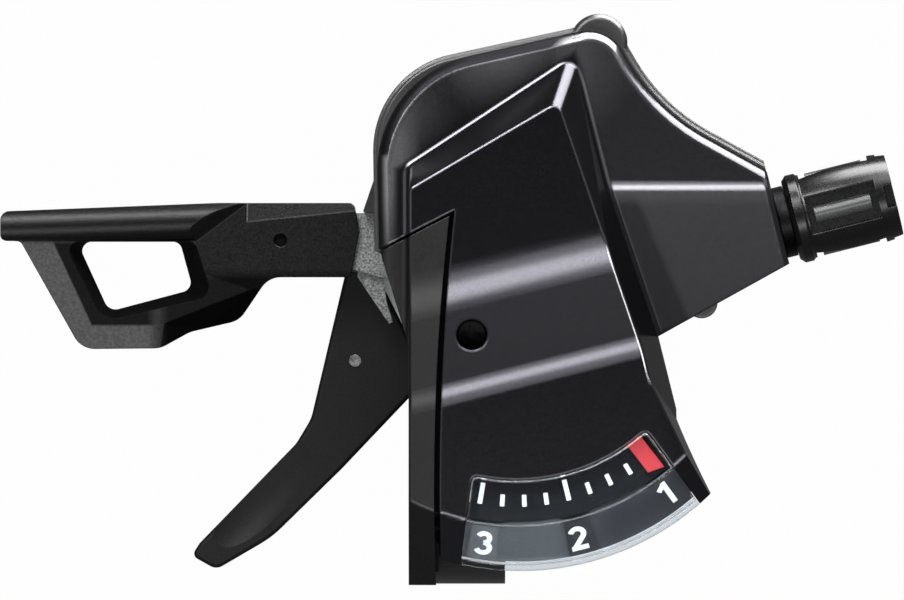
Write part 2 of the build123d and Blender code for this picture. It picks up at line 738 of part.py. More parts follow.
# Thumb lever: plate, bush, cap and rivet
plate_plan = Pos(axle_x, axle_y) * Circle(hub_radius)
lever_plan = [(0.0, 38.4), (-11.6, 24.6), (-18.0, 9.0), (-10.0, 7.4), (2.4, 17.6), (11.6, 27.8)]
plate_plan = plate_plan + polygon(lever_plan)
plate_plan = plate_plan + Pos(*feed_pin) * Circle(3.0)
bush = disc(axle_x, axle_y, 4.0, lever_low, lever_high)
bush = bush + disc(axle_x, axle_y, 5.6, lever_high, feed_low - 0.3)
main_lever_bush = bush - disc(axle_x, axle_y, axle_radius + running_play, -40, 40)
main_lever_plate = slab(plate_plan, lever_low, lever_high) - disc(axle_x, axle_y, 4.0, -40, 40)
main_lever_plate = main_lever_plate - disc(*feed_pin, pawl_pin_radius, -40, 40)
thumb_outline = [
    (-14.2, 27.2, 1.0),
    (-18.9, 7.2, 5.0),
    (-20.8, 4.0, 4.0),
    (-33.4, -9.0, 1.6),
    (-34.4, -10.6, 0.8),
    (-31.2, -12.4, 1.6),
    (-24.0, -8.2, 14.0),
    (-15.0, 0.6, 20.0),
    (-3.6, 12.6, 1.0),
    (-9.6, 24.4, 4.0),
]
main_lever_cap = slab(rounded(thumb_outline), thumb_low, thumb_high)
main_lever_cap = fillet(main_lever_cap.faces().sort_by(Axis.Z)[-1].edges(), thumb_edge)
scoop_plane = Plane(origin=(-25.4, -2.6, thumb_high + scoop_length - scoop_depth), z_dir=(0.756, -0.655, 0))
main_lever_cap = main_lever_cap - scoop_plane * Torus(scoop_length - scoop_round, scoop_round)
main_lever_cap = main_lever_cap - main_lever_plate
rivet_x, rivet_y = -13.2, 14.7
main_lever_rivet = disc(rivet_x, rivet_y, rivet_radius, thumb_low - 0.1, thumb_high + 0.15)
main_lever_cap = main_lever_cap - main_lever_rivet
main_lever_plate = main_lever_plate - main_lever_rivet

# Trigger: cast plate and cap with finger window
plate_plan = Pos(axle_x, axle_y) * Circle(hub_radius)
arm_plan = rounded([
    (3.6, 40.4, 0.0),
    (-9.6, 33.8, 6.0),
    (-13.0, 33.8, 0.0),
    (-24.0, 33.2, 1.0),
    (-24.0, 27.4, 1.0),
    (-13.0, 26.4, 0.0),
    (-9.4, 25.3, 4.0),
    (3.0, 25.2, 0.0),
])
tab = Pos(axle_x, axle_y) * Rot(0, 0, release_angle) * Pos(8.4, 0) * Rectangle(2.6, 1.8)
lobe = Pos(*polar(8.0, 100)) * Circle(1.4)
release_lever_plate = slab(plate_plan + arm_plan + tab + lobe, release_low, release_high)
tail_plan = polygon([
    (-12.9, 26.6),
    (-9.5, 25.4),
    (-9.1, 22.4),
    (-8.3, 19.7),
    (-8.8, 19.5),
    (-10.9, 22.6),
    (-12.9, 25.6),
])
release_lever_plate = release_lever_plate + slab(tail_plan, release_low, release_high - 1.2)
release_lever_plate = release_lever_plate - disc(axle_x, axle_y, sleeve_radius + running_play, -40, 40)
trigger_outline = [
    (-59.0, 34.0, 1.2),
    (-31.0, 35.1, 30.0),
    (-13.3, 35.1, 0.8),
    (-12.6, 31.5, 3.0),
    (-13.7, 25.5, 0.6),
    (-24.4, 25.5, 3.0),
    (-28.2, 19.9, 3.0),
    (-34.6, 18.4, 4.0),
    (-38.4, 16.3, 3.0),
    (-48.6, 16.2, 3.0),
    (-56.4, 30.1, 0.8),
    (-59.0, 30.4, 0.8),
]
release_lever_cap = slab(rounded(trigger_outline), trigger_low, trigger_face)
bar_plan = rounded([
    (-59.0, 34.0, 1.2),
    (-31.0, 35.1, 30.0),
    (-27.2, 35.1, 0.0),
    (-28.0, 32.8, 1.4),
    (-33.6, 30.2, 1.4),
    (-59.0, 30.2, 0.8),
])
front_facet = Plane(origin=(-26.8, 32.7, trigger_face), z_dir=(-0.07, 0.7, 1))
front_cut = split(block_box(-27.2, 0, 30, 40, trigger_low, 0), front_facet, keep=Keep.TOP)
hook_facet = Plane(origin=(-45.0, 30.0, trigger_face), z_dir=(-hook_slope / 3, -hook_slope, 1))
hook_cut = split(block_box(-60, -24.5, 10, 30.2, trigger_low, 0), hook_facet, keep=Keep.TOP)
bend_facet = Plane(origin=(-38.5, 16.2, trigger_face - 1.6), z_dir=(0.44, -0.23, 1))
back_facet = Plane(origin=(-37.4, 19.7, trigger_face - 1.05), z_dir=(0.35, -1.15, 1))
back_cut = split(block_box(-39.5, -24.5, 14, 25.4, trigger_low, 0), bend_facet, keep=Keep.TOP)
back_cut = split(back_cut, back_facet, keep=Keep.TOP)
release_lever_cap = release_lever_cap - front_cut - hook_cut - back_cut
bar = slab(bar_plan, trigger_low, trigger_bar)
crown_low = trigger_bar - bar_round
crown = Pos(-43, 32.4, crown_low) * Rot(0, 0, 2.0) * Rot(0, 90, 0) * Cylinder(bar_round, 70)
bar = bar & (crown + block_box(-70, 0, 20, 45, trigger_low, crown_low))
end_facet = Plane(origin=(-33.6, 30.2, trigger_face), z_dir=(0.36, -0.48, 1))
bar = split(bar, end_facet, keep=Keep.BOTTOM)
release_lever_cap = release_lever_cap + bar
finger_top = rounded([(-51.3, 30.1, 1.2), (-33.2, 30.1, 1.2), (-30.8, 22.6, 2.0), (-45.9, 19.0, 2.6)])
finger_low = rounded([(-49.0, 30.1, 1.2), (-36.2, 30.1, 1.2), (-34.6, 24.1, 1.2), (-45.0, 21.3, 1.4)])
funnel = loft([Pos(0, 0, trigger_bar + 1) * finger_top, Pos(0, 0, trigger_low - 1) * finger_low], ruled=True)
release_lever_cap = release_lever_cap - funnel - release_lever_plate
release_lever_cap = release_lever_cap - disc(-22.8, 30.3, 0.85, trigger_face - 0.7, 0)

# Barrel adjuster: bolt, knob with grips, detent spring
knob_middle = (knob_start + knob_end) / 2
grip_start = knob_start + collar_width + 0.3
knob_section = make_face([
    Line((knob_start, 0), (knob_start, collar_radius - 0.6)),
    Line((knob_start, collar_radius - 0.6), (knob_start + 0.6, collar_radius)),
    Line((knob_start + 0.6, collar_radius), (knob_start + collar_width, collar_radius)),
    Line((knob_start + collar_width, collar_radius), (grip_start, knob_end_radius)),
    ThreePointArc((grip_start, knob_end_radius), (knob_middle, knob_radius), (knob_end, knob_end_radius)),
    Line((knob_end, knob_end_radius), (knob_end, 0)),
    Line((knob_end, 0), (knob_start, 0)),
])
knob_body = revolve(knob_section, Axis.X)
knob = knob_body
for i in range(grip_count):
    turn = Rot(360 / grip_count * i, 0, 0)
    pocket = turn * Pos(knob_middle, 0, knob_radius) * Box(9.2, 5.0, 2 * pocket_depth)
    rib_top = knob_radius - rib_sink
    rib_round = Pos(knob_middle, 0, rib_top - 0.95) * Rot(0, 90, 0) * Cylinder(0.95, 7.4)
    rib_foot = Pos(knob_middle, 0, rib_top - 1.45) * Box(7.4, 1.9, 1.0)
    notch = turn * Pos(knob_end, 0, knob_radius) * Box(2.4, 3.0, 3.2)
    knob = knob - pocket + turn * (rib_round + rib_foot) - notch
bolt_end = knob_end - housing_depth
knob = knob - Pos(knob_end, 0, 0) * Rot(0, 90, 0) * Cylinder(housing_radius, 2 * housing_depth)
knob = knob - Pos(bolt_end - 10, 0, 0) * Rot(0, 90, 0) * Cylinder(thread_radius, 20)
to_cable = Pos(dial_x, dial_y, cable_level) * Rot(0, 0, cable_angle)
adjuster_knob = to_cable * knob
adjuster_bolt = on_cable(thread_radius, 24.5, bolt_end) - on_cable(cable_hole, 10, 60)
adjuster_spring = on_cable(4.6, arm_end + 0.1, knob_start - 0.1) - on_cable(thread_radius + 0.1, 10, 60)

parts = {
    "top_cover": top_cover,
    "window": window,
    "dial_plate": dial_plate,
    "needle": needle,
    "needle_washer": needle_washer,
    "side_cover": side_cover,
    "wire_port_cap": wire_port_cap,
    "lower_case": lower_case,
    "cover_screw": cover_screw,
    "case_screws": Compound(children=case_screws),
    "bracket": bracket,
    "clamp_bolt": clamp_bolt,
    "clamp_nut": clamp_nut,
    "base_plate": base_plate,
    "main_axle": main_axle,
    "axle_nut": axle_nut,
    "axle_spacer": axle_spacer,
    "drum_washer": drum_washer,
    "cable_drum": cable_drum,
    "drum_pin": drum_pin,
    "hold_ratchet": hold_ratchet,
    "feed_ratchet": feed_ratchet,
    "hold_pawl": hold_pawl,
    "hold_pawl_pin": hold_pawl_pin,
    "hold_pawl_spring": hold_pawl_spring,
    "feed_pawl": feed_pawl,
    "feed_pawl_pin": feed_pawl_pin,
    "feed_pawl_spring": feed_pawl_spring,
    "release_spring": release_spring,
    "lever_spring": lever_spring,
    "main_lever_plate": main_lever_plate,
    "main_lever_bush": main_lever_bush,
    "main_lever_cap": main_lever_cap,
    "main_lever_rivet": main_lever_rivet,
    "release_lever_plate": release_lever_plate,
    "release_lever_cap": release_lever_cap,
    "adjuster_knob": adjuster_knob,
    "adjuster_bolt": adjuster_bolt,
    "adjuster_spring": adjuster_spring,
}

os.makedirs("parts", exist_ok=True)
for name, part in parts.items():
    export_step(part, f"parts/{name}.step")
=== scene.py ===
import json
import math

import bmesh
import bpy
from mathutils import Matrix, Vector


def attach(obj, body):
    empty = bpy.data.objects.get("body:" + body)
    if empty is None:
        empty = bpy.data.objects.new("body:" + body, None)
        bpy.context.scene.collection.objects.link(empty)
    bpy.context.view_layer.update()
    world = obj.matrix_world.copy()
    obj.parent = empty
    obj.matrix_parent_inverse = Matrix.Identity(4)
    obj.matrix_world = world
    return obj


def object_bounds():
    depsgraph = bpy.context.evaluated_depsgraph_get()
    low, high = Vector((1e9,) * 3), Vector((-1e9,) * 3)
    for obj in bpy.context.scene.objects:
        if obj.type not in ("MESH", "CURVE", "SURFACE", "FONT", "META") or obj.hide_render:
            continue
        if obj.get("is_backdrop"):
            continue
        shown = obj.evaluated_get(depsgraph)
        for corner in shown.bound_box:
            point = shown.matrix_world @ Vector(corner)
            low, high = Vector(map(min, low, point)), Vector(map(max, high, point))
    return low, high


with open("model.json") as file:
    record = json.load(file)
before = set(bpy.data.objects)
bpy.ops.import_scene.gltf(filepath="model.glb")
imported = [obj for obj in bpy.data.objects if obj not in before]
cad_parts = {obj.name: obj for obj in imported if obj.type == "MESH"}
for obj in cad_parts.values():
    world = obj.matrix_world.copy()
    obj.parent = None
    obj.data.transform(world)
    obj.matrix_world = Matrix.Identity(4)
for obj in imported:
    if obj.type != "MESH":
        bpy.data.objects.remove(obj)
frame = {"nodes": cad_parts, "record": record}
cad_low, cad_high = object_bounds()
nodes = frame["nodes"]
scene = bpy.context.scene
scene.view_settings.view_transform = "Standard"

# Places and sizes of the object are in millimetres, those of the lights, floor and camera in metres
MM = 0.001
UP = Vector((0.0, 0.0, 1.0))

# Dial: its middle, the height of its flat face, and the rim that falls away outside the bend
DIAL = Vector((7.6, 24.0, 0.0))
DIAL_TOP = 14.9
DIAL_BEND = 29.9
DIAL_FALL = math.tan(math.radians(33.0))
TAB_RISE = 0.5

# Cable line through the middle of the adjuster's socket
CABLE_ANGLE = math.radians(14.0)
ALONG = Vector((math.cos(CABLE_ANGLE), math.sin(CABLE_ANGLE), 0.0))
CABLE_POINT = Vector((52.2336, 35.1284, 5.5))

# Walls of the cover's raised block at the panel's height, each with the way it leans out per millimetre down
PANEL_TOP = 21.8
BLOCK_WALLS = (
    ((-6.2, 36.7), (12.9, 47.9), 0.66),
    ((12.9, 47.9), (19.5, 28.6), 0.62),
    ((19.5, 28.6), (22.9, 14.9), 0.28),
    ((-6.2, 10.0), (-6.2, 36.7), 0.30),
)

# Spans over which the cover's paint changes, and where its painted light and shade lie
ARM_START = (12.0, 18.0)
ARM_RIDGE = (34.5, 36.2)
ARM_BEND = (34.9, 35.8)
ARM_BEND_NORMAL = (0.917, 0.398, 0.0)
LEFT_SHOULDER = (-7.2, -4.6)
RIM_END = (16.5, 20.0)
EDGE_INSET = 0.14
EDGE_WIDTH = (0.12, 0.24)
EDGE_FRONT = (28.5, 29.7)
EDGE_REAR = (11.5, 14.0)

# Spans over which the trigger's paint changes, and where its painted light and shade lie
HOOK_FRONT = (29.8, 30.4)
HOOK_RIGHT = (-40.0, -37.2)
HOOK_BACK = (25.2, 26.6)
FUNNEL_LEFT = (-34.92, -34.67)
FUNNEL_LEFT_NORMAL = (0.908, 0.419, 0.0)
FUNNEL_REAR = (19.10, 19.45)

# Middle part of a noise, where most of its values lie
NOISE_SPAN = (0.35, 0.65)
NOISE_WIDE_SPAN = (0.3, 0.7)


def grey(level):
    return level, level, level


# Node helpers


class Nodes:
    """A material's node tree with short calls."""

    def __init__(self, name):
        self.material = bpy.data.materials.new(name)
        self.material.use_nodes = True
        self.tree = self.material.node_tree
        self.tree.nodes.clear()
        self.output = self.tree.nodes.new("ShaderNodeOutputMaterial")
        self.object_place = self.tree.nodes.new("ShaderNodeTexCoord").outputs["Object"]

    def new(self, kind, **values):
        node = self.tree.nodes.new("ShaderNode" + kind)
        for key, value in values.items():
            setattr(node, key, value)
        return node

    def link(self, source, target):
        self.tree.links.new(source, target)

    def put(self, target, value):
        """Sets a socket, or links it where the value is another socket."""
        if isinstance(value, bpy.types.NodeSocket):
            self.link(value, target)
        else:
            target.default_value = value

    def math(self, operation, a, b=None, clamp=False):
        node = self.new("Math", operation=operation, use_clamp=clamp)
        self.put(node.inputs[0], a)
        if b is not None:
            self.put(node.inputs[1], b)
        return node.outputs[0]

    def times(self, *factors):
        product = factors[0]
        for factor in factors[1:]:
            product = self.math("MULTIPLY", product, factor)
        return product

    def inverse(self, value):
        return self.math("SUBTRACT", 1.0, value)

    def ramp(self, value, span, out_low=0.0, out_high=1.0):
        """Even change from one value to another over a span, held outside it."""
        node = self.new("MapRange", clamp=True)
        self.put(node.inputs["Value"], value)
        node.inputs["From Min"].default_value = span[0]
        node.inputs["From Max"].default_value = span[1]
        node.inputs["To Min"].default_value = out_low
        node.inputs["To Max"].default_value = out_high
        return node.outputs["Result"]

    def fade(self, value, span, out_low=0.0, out_high=1.0):
        """The same over a span in millimetres."""
        return self.ramp(value, (span[0] * MM, span[1] * MM), out_low, out_high)

    def split(self, vector):
        """The x, y and z of a vector."""
        node = self.new("SeparateXYZ")
        self.link(vector, node.inputs[0])
        return node.outputs

    def reach(self, direction):
        """How far the surface's place lies along a direction."""
        node = self.new("VectorMath", operation="DOT_PRODUCT")
        self.link(self.object_place, node.inputs[0])
        node.inputs[1].default_value = direction
        return node.outputs["Value"]

    def near(self, middle, inner, outer):
        """1 close to a point of the plan, fading to 0 at the outer distance."""
        flat = self.new("VectorMath", operation="MULTIPLY")
        self.link(self.object_place, flat.inputs[0])
        flat.inputs[1].default_value = (1.0, 1.0, 0.0)
        gap = self.new("VectorMath", operation="DISTANCE")
        self.link(flat.outputs["Vector"], gap.inputs[0])
        gap.inputs[1].default_value = (middle[0] * MM, middle[1] * MM, 0.0)
        return self.fade(gap.outputs["Value"], (inner, outer), 1.0, 0.0)

    def noise(self, scale, detail=3.0, rough=0.5):
        node = self.new("TexNoise")
        node.inputs["Scale"].default_value = scale
        node.inputs["Detail"].default_value = detail
        node.inputs["Roughness"].default_value = rough
        self.link(self.object_place, node.inputs["Vector"])
        return node.outputs["Fac"]

    def cells(self, scale):
        node = self.new("TexVoronoi", feature="F1")
        node.inputs["Scale"].default_value = scale
        self.link(self.object_place, node.inputs["Vector"])
        return node.outputs["Color"]

    def colours(self, factor, low, high):
        node = self.new("Mix", data_type="RGBA")
        self.put(node.inputs["Factor"], factor)
        for key, tone in (("A", low), ("B", high)):
            self.put(node.inputs[key], tone if isinstance(tone, bpy.types.NodeSocket) else (*tone, 1.0))
        return node.outputs["Result"]

    def bump(self, height, strength, depth, normal=None):
        node = self.new("Bump")
        node.inputs["Strength"].default_value = strength
        node.inputs["Distance"].default_value = depth * MM
        self.link(height, node.inputs["Height"])
        if normal is not None:
            self.link(normal, node.inputs["Normal"])
        return node.outputs["Normal"]

    def soft_edges(self, radius):
        node = self.new("Bevel", samples=6)
        node.inputs["Radius"].default_value = radius * MM
        return node.outputs["Normal"]

    def mixed_shader(self, factor, one, two):
        """Surface that goes from one shader to another."""
        mix = self.new("MixShader")
        self.link(factor, mix.inputs[0])
        self.link(one.outputs[0], mix.inputs[1])
        self.link(two.outputs[0], mix.inputs[2])
        self.link(mix.outputs[0], self.output.inputs["Surface"])

    def surface(self, **values):
        """Principled shader with the named sockets set or linked."""
        node = self.new("BsdfPrincipled")
        for key, value in values.items():
            self.put(node.inputs[key.replace("_", " ")], value)
        self.link(node.outputs[0], self.output.inputs["Surface"])


# Materials


def wall_gaps(m):
    """Distance outside each wall of the raised block."""
    gaps = []
    for (x0, y0), (x1, y1), lean in BLOCK_WALLS:
        across = Vector((y0 - y1, x1 - x0, 0.0)).normalized()
        across.z = lean
        offset = across.x * x0 + across.y * y0 + lean * PANEL_TOP
        gaps.append(m.math("SUBTRACT", m.reach(across), offset * MM))
    return gaps


def cover_material():
    """Grey metallic moulding with fine flakes; the raised block is darker and smoother than the shoulder. Light
    and shade are also painted into its colour: on the shoulder, the arm, the steep sides, the front and left
    rim and the block's right edge.
    """
    m = Nodes("cover_grey")
    front_gap, right_gap, rear_gap, left_gap = wall_gaps(m)
    farthest = front_gap
    for gap in (right_gap, rear_gap, left_gap):
        farthest = m.math("MAXIMUM", farthest, gap)
    block = m.fade(farthest, (0.1, 0.9), 1.0, 0.0)
    x, y = m.split(m.object_place)[:2]
    arm = m.fade(x, ARM_START)
    flakes = m.ramp(m.cells(9000.0), (0.1, 0.9))
    grain = m.noise(5200.0, 2.0)
    mottle = m.noise(60.0, 3.0)
    upward = m.split(m.new("NewGeometry").outputs["Normal"])[2]

    # Shoulder: painted sheen at its two outer corners, painted shade at the block's foot, and on the arm a
    # painted lighter front and painted shade beside its bend
    tone = m.colours(flakes, (0.064, 0.063, 0.069), (0.092, 0.090, 0.098))
    left_painted_sheen = m.times(m.near((-8.5, 40.0), 3.5, 11.0), 0.52)
    painted_sheen = m.math("ADD", m.near((11.0, 55.0), 5.0, 13.0), left_painted_sheen, clamp=True)
    tone = m.colours(m.times(painted_sheen, 0.9), tone, (0.46, 0.456, 0.472))
    # Painted shade: the shoulder turns darker towards the foot of the raised block
    block_foot_shade = m.times(m.fade(front_gap, (0.5, 8.5), 0.92, 0.0), m.inverse(arm), m.fade(x, LEFT_SHOULDER))
    tone = m.colours(block_foot_shade, tone, (0.012, 0.012, 0.013))
    # Painted light: lighter tone on the arm in front of its ridge
    arm_front_light = m.times(arm, m.fade(y, ARM_RIDGE, 0.0, 0.5))
    tone = m.colours(arm_front_light, tone, (0.148, 0.146, 0.156))
    # Painted shade: darker band on the arm beside its bend
    arm_flank_shade = m.times(m.fade(m.reach(ARM_BEND_NORMAL), ARM_BEND, 0.6, 0.0), m.fade(y, ARM_RIDGE, 1.0, 0.0), arm)
    tone = m.colours(arm_flank_shade, tone, (0.020, 0.020, 0.022))

    # Block, painted shade on the steep sides, and along the front and left edges a rim of painted shade that is
    # also rougher
    block_tone = m.colours(flakes, (0.047, 0.046, 0.052), (0.061, 0.060, 0.067))
    tone = m.colours(block, tone, block_tone)
    # Painted shade: steep faces get a darker tone and less metal; side is the steepness mask
    side = m.ramp(upward, (0.50, 0.80), 1.0, 0.0)
    tone = m.colours(m.times(side, 0.92), tone, (0.006, 0.006, 0.007))
    tone = m.colours(m.ramp(mottle, (0.35, 0.7), 0.0, 0.18), tone, (0.060, 0.059, 0.068))
    # Painted shade: a dark band on the bent faces of the front and left rim, also made rougher
    outer = m.math("MAXIMUM", m.fade(front_gap, (1.6, 2.8)), m.fade(left_gap, (1.2, 2.2), 0.0, 0.88))
    bent = m.ramp(upward, (0.965, 0.996), 1.0, 0.0)
    rim_shade = m.times(outer, m.fade(x, RIM_END, 1.0, 0.0), bent)
    tone = m.colours(rim_shade, tone, (0.008, 0.008, 0.009))

    # Painted highlight: a bright line along the block's right edge next to the dial
    off_edge = m.math("ABSOLUTE", m.math("ADD", rear_gap, EDGE_INSET * MM))
    edge = m.times(
        m.fade(off_edge, EDGE_WIDTH, 1.0, 0.0),
        m.fade(y, EDGE_FRONT, 1.0, 0.0),
        m.fade(y, EDGE_REAR),
        m.ramp(upward, (0.86, 0.93)),
    )
    tone = m.colours(edge, tone, (0.80, 0.80, 0.82))

    rough = m.math("ADD", m.ramp(grain, NOISE_WIDE_SPAN, 0.14, 0.18), m.times(edge, 0.3))
    rough = m.math("ADD", rough, m.times(m.inverse(block), m.inverse(arm), 0.05))
    rough = m.math("ADD", rough, m.times(rim_shade, 0.28))
    m.surface(
        Base_Color=tone,
        Metallic=m.times(m.inverse(side), 0.94),
        Specular_IOR_Level=0.15,
        Specular_Tint=(0.45, 0.45, 0.46, 1.0),
        Roughness=rough,
        Normal=m.bump(grain, 0.03, 0.02, m.soft_edges(0.42)),
    )
    return m.material


def plastic_material(name, dark, light, rough, scale, strength, gloss=0.4, edge=0.15):
    """Moulded plastic with a fine spark-eroded texture."""
    m = Nodes(name)
    grain = m.noise(scale, 2.0, 0.6)
    mottle = m.noise(140.0, 3.0)
    mixed = m.math("ADD", m.times(grain, 0.7), m.times(mottle, 0.3))
    m.surface(
        Base_Color=m.colours(m.ramp(mixed, NOISE_SPAN), dark, light),
        Roughness=m.ramp(mixed, NOISE_SPAN, *rough),
        Specular_IOR_Level=gloss,
        Normal=m.bump(grain, strength, 0.06, m.soft_edges(edge)),
    )
    return m.material


def trigger_material():
    """Black trigger with painted light on the face of its hook and painted shade in the funnel and on the part
    behind.
    """
    m = Nodes("trigger_black")
    grain = m.noise(4000.0, 2.0, 0.6)
    specks = m.noise(2600.0, 3.0, 0.7)
    x, y = m.split(m.object_place)[:2]
    # Painted light on the hook's face, and painted shade in the funnel and on the part behind the hook
    painted_lit = m.times(m.fade(y, HOOK_FRONT, 1.0, 0.0), m.fade(x, HOOK_RIGHT, 1.0, 0.0))
    funnel = m.times(m.fade(m.reach(FUNNEL_LEFT_NORMAL), FUNNEL_LEFT), painted_lit, m.fade(y, FUNNEL_REAR))
    behind = m.times(m.fade(y, HOOK_BACK, 1.0, 0.0), m.fade(x, HOOK_RIGHT))
    shade = m.math("MAXIMUM", behind, funnel)
    body = m.colours(m.ramp(grain, NOISE_SPAN), grey(0.003), grey(0.006))
    bright = m.colours(m.ramp(specks, NOISE_SPAN), grey(0.036), grey(0.082))
    m.surface(
        Base_Color=m.colours(shade, m.colours(painted_lit, body, bright), grey(0.002)),
        Roughness=m.ramp(grain, NOISE_SPAN, 0.28, 0.36),
        Specular_IOR_Level=m.ramp(shade, (0.0, 1.0), 0.13, 0.03),
        Normal=m.bump(grain, 0.30, 0.06, m.soft_edges(0.3)),
    )
    return m.material


def metal_material(name, dark, light, rough, scale, strength):
    """Metal with a fine uneven grain."""
    m = Nodes(name)
    grain = m.noise(scale, 4.0, 0.6)
    mottle = m.noise(scale * 0.12, 3.0)
    m.surface(
        Base_Color=m.colours(m.ramp(mottle, NOISE_SPAN), dark, light),
        Metallic=1.0,
        Roughness=m.ramp(grain, NOISE_WIDE_SPAN, *rough),
        Normal=m.bump(grain, strength, 0.05, m.soft_edges(0.12)),
    )
    return m.material


def lens_material():
    """Clear moulded lens that lets light through to the dial."""
    m = Nodes("lens_clear")
    body = m.new("BsdfPrincipled")
    body.inputs["Base Color"].default_value = (0.87, 0.93, 0.985, 1.0)
    body.inputs["Transmission Weight"].default_value = 1.0
    body.inputs["IOR"].default_value = 1.49
    m.put(body.inputs["Roughness"], m.ramp(m.noise(900.0, 2.0), NOISE_WIDE_SPAN, 0.01, 0.04))
    m.link(m.soft_edges(0.45), body.inputs["Normal"])
    m.mixed_shader(m.new("LightPath").outputs["Is Shadow Ray"], body, m.new("BsdfTransparent"))
    return m.material


def print_material():
    """White print on the dial."""
    m = Nodes("dial_print")
    grain = m.noise(4200.0, 2.0)
    m.surface(
        Base_Color=m.colours(m.ramp(grain, NOISE_SPAN), grey(0.80), grey(0.90)),
        Roughness=m.ramp(grain, NOISE_WIDE_SPAN, 0.45, 0.6),
    )
    return m.material


def rim_material(name, change, left_tones, right_tones):
    """Satin grey with painted light on the left that turns to painted shade towards the right over a span of x.
    """
    m = Nodes(name)
    x = m.split(m.object_place)[0]
    grain = m.noise(3800.0, 2.0)
    light = m.colours(m.ramp(grain, NOISE_SPAN), *left_tones)
    dark = m.colours(m.ramp(grain, NOISE_SPAN), *right_tones)
    m.surface(
        Base_Color=m.colours(m.fade(x, change, 1.0, 0.0), dark, light),
        Roughness=m.ramp(grain, NOISE_WIDE_SPAN, 0.35, 0.5),
        Normal=m.bump(grain, 0.08, 0.03),
    )
    return m.material


# Dark tone, light tone, roughness, grain scale, bump strength, and where they differ gloss and edge softening
PLASTICS = {
    "case_grey": ((0.016, 0.016, 0.018), (0.024, 0.024, 0.027), (0.30, 0.40), 4200.0, 0.04, 0.6, 0.5),
    "strip_black": ((0.006, 0.006, 0.0058), (0.010, 0.010, 0.0096), (0.28, 0.36), 4600.0, 0.10, 0.25),
    "lever_black": (grey(0.005), grey(0.010), (0.28, 0.38), 4000.0, 0.30, 0.24),
    "thumb_black": (grey(0.006), grey(0.011), (0.46, 0.58), 4000.0, 0.30, 0.10),
    "knob_black": (grey(0.005), grey(0.009), (0.22, 0.30), 4200.0, 0.08, 0.26),
    "rib_grey": ((0.060, 0.062, 0.062), (0.105, 0.108, 0.108), (0.32, 0.42), 4200.0, 0.10),
    "dial_black": ((0.003, 0.003, 0.004), (0.006, 0.006, 0.007), (0.60, 0.75), 4000.0, 0.10, 0.12),
    "needle_red": ((0.42, 0.002, 0.007), (0.48, 0.004, 0.011), (0.40, 0.46), 3600.0, 0.08),
    "drum_nylon": ((0.030, 0.030, 0.033), (0.045, 0.045, 0.050), (0.45, 0.60), 2600.0, 0.12),
    "bracket_black": (grey(0.007), grey(0.012), (0.30, 0.40), 2400.0, 0.25),
    # Near-black for painted shade in hollows
    "painted_shade_black": (grey(0.0006), grey(0.0012), (0.7, 0.85), 4000.0, 0.1, 0.05),
}
# Dark tone, light tone, roughness, grain scale, bump strength
METALS = {
    "screw_black": (grey(0.010), grey(0.018), (0.34, 0.48), 2400.0, 0.15),
    "bolt_black": (grey(0.005), grey(0.010), (0.34, 0.48), 2400.0, 0.15),
    "steel": ((0.50, 0.50, 0.51), (0.60, 0.60, 0.61), (0.22, 0.36), 2400.0, 0.10),
    "plate_steel": ((0.44, 0.45, 0.46), (0.55, 0.56, 0.57), (0.28, 0.42), 2000.0, 0.15),
    "spring_steel": ((0.36, 0.36, 0.37), (0.46, 0.46, 0.47), (0.25, 0.40), 2400.0, 0.10),
    "cast_silver": ((0.045, 0.047, 0.046), (0.175, 0.180, 0.177), (0.30, 0.46), 30000.0, 0.8),
    "rivet_grey": (grey(0.05), grey(0.13), (0.35, 0.50), 9000.0, 0.9),
    "bush_brass": ((0.58, 0.42, 0.16), (0.68, 0.50, 0.22), (0.25, 0.38), 2000.0, 0.10),
}
SMOOTH_ANGLE = math.radians(24.0)

materials = {"cover_grey": cover_material(), "lens_clear": lens_material()}
materials.update({name: plastic_material(name, *row) for name, row in PLASTICS.items()})
materials.update({name: metal_material(name, *row) for name, row in METALS.items()})
own_looks = {"release_lever_cap": trigger_material(), "main_lever_cap": materials["thumb_black"]}
for entry in frame["record"]["subparts"]:
    data = nodes[entry["node"]].data
    data.materials.clear()
    data.materials.append(own_looks.get(entry["node"], materials[entry["material_slot"]]))

# Smooth shading over the curved faces
for part in nodes.values():
    part.data.shade_smooth()
    part.data.set_sharp_from_angle(angle=SMOOTH_ANGLE)


# Print on the dial: ticks, and the figures on their tabs

TICK_FIRST = -9.7
GEAR_STEP = 23.7
TICKS_PER_STEP = 4
TICK_COUNT = 9
TICK_OUTER = 27.9
LONG_TICK = (25.2, 0.30)
SHORT_TICK = (26.4, 0.28)
TICK_THICK = 0.04

FIGURE_HEIGHT = 3.6
FIGURE_MIDDLE = (0.34, 0.5)
FIGURE_PLACES = (("1", 32.3, 36.3), ("2", 32.7, 14.0), ("3", 32.6, -7.2))
STROKE_HALF = 0.095
STROKE_THICK = 0.03
STROKE_LIFT = 0.005
ARC_STEPS = 14


def dial_height(radius):
    """Height of the dial's face, flat inside and falling away outside."""
    return DIAL_TOP - max(0.0, radius - DIAL_BEND) * DIAL_FALL


def dial_point(radius, angle, lift=0.0):
    """Point on the dial in metres, the angle counted from the rider's side."""
    a = math.radians(angle)
    x = DIAL.x + radius * math.sin(a)
    y = DIAL.y - radius * math.cos(a)
    return Vector((x, y, dial_height(radius) + lift)) * MM


def add_piece(name, mesh, body, material):
    piece = bpy.data.objects.new(name, mesh)
    scene.collection.objects.link(piece)
    piece.data.materials.append(material)
    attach(piece, body)


def add_print(name, builder):
    """Turns built faces into a white piece on the dial."""
    bmesh.ops.recalc_face_normals(builder, faces=builder.faces)
    mesh = bpy.data.meshes.new(name)
    builder.to_mesh(mesh)
    builder.free()
    add_piece(name, mesh, "housing", white)


